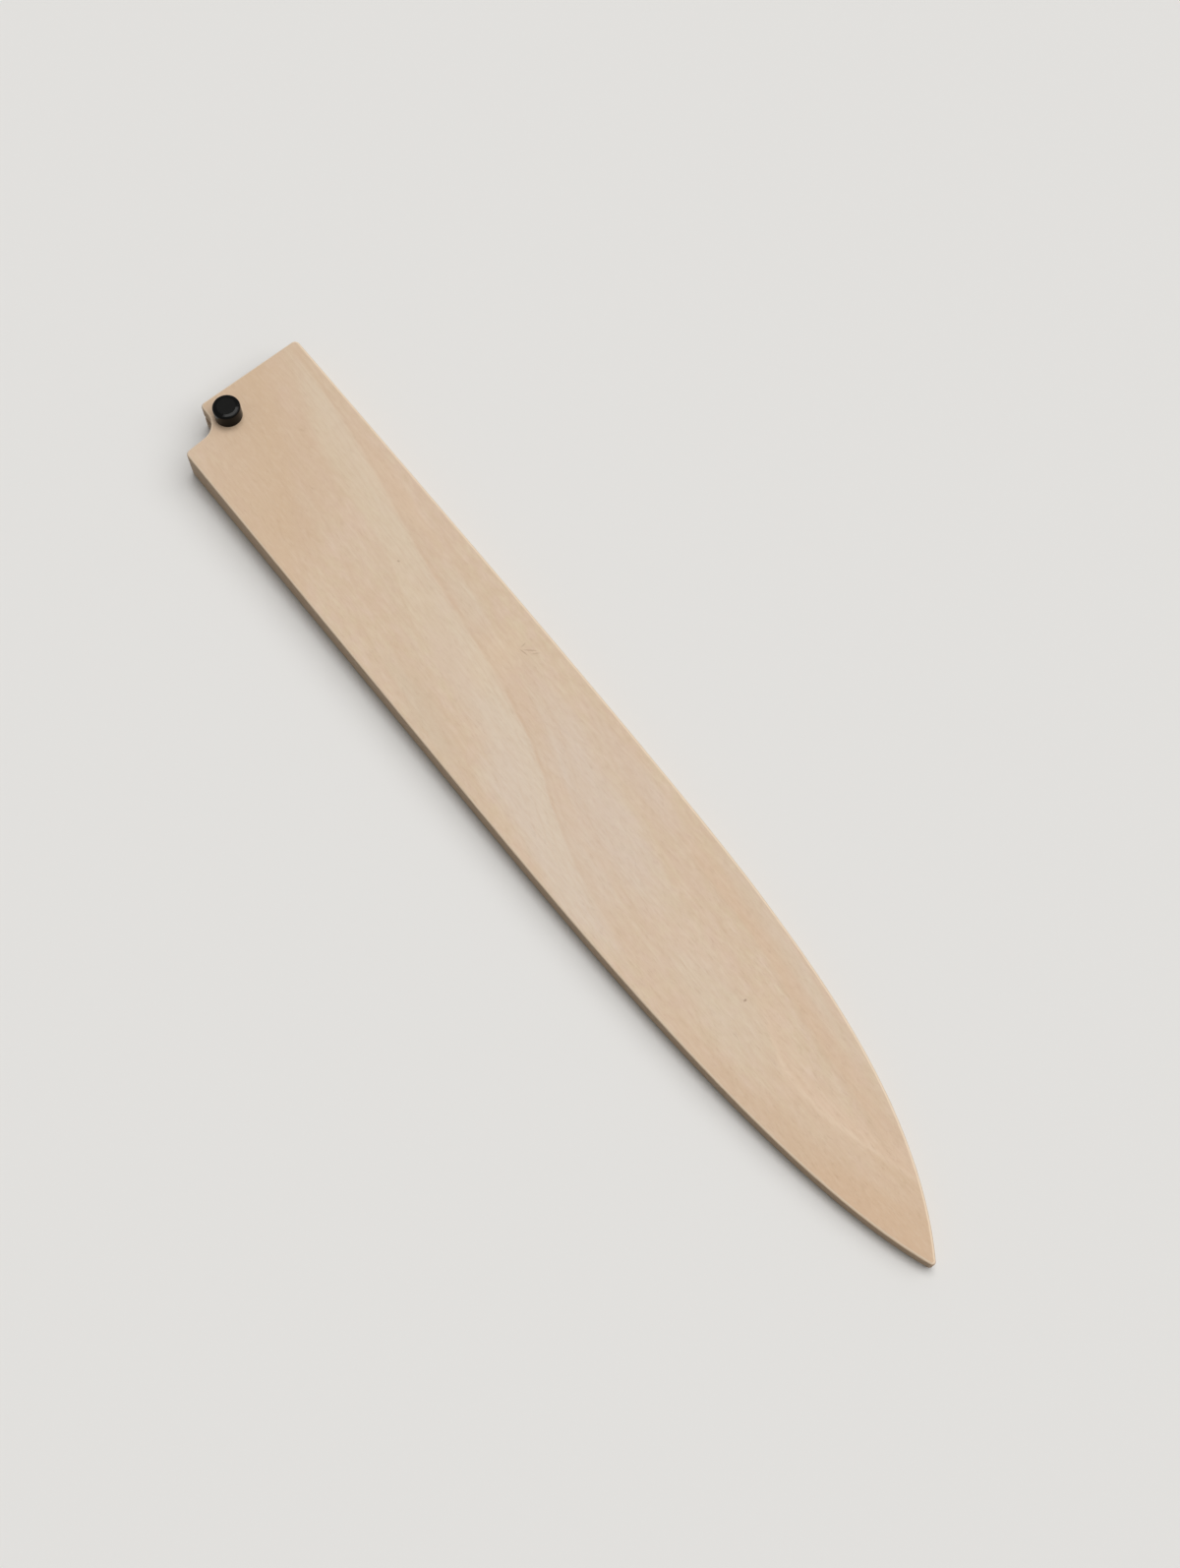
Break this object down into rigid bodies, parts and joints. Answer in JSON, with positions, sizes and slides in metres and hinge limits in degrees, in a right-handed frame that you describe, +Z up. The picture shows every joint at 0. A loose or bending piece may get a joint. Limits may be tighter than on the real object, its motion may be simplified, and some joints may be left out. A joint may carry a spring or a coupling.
{
  "type": "knife blade guard",
  "caption": "Wooden sheath for a long slicing knife: boards glued over thin strips leave a flat blade slot, with a stepped mouth and a black push-in pin that locks the blade in.",
  "frame": {"origin": "middle of the base: the centre of the outline's box, on the back face that lies on the table", "axes": "+X along the guard from the mouth to the tip, +Y from the spine side to the cutting-edge side, +Z up out of the front board, whose button is on top"},
  "size_m": [0.29, 0.0434, 0.0143],
  "materials": {
    "board_wood": "bare, sanded",
    "strip_wood": "bare, sanded",
    "pin_black": "polished black"
  },
  "bodies": {
    "guard": {"back_board": "board_wood", "spine_strip": "strip_wood", "edge_strip": "strip_wood", "front_board": "board_wood"},
    "pin": {"lock_pin": "pin_black"}
  },
  "joints": [
    {"name": "pin_pull", "type": "slide", "parent": "guard", "child": "pin", "axis": [0, 0, 1], "range_m": [0, 0.013]}
  ]
}
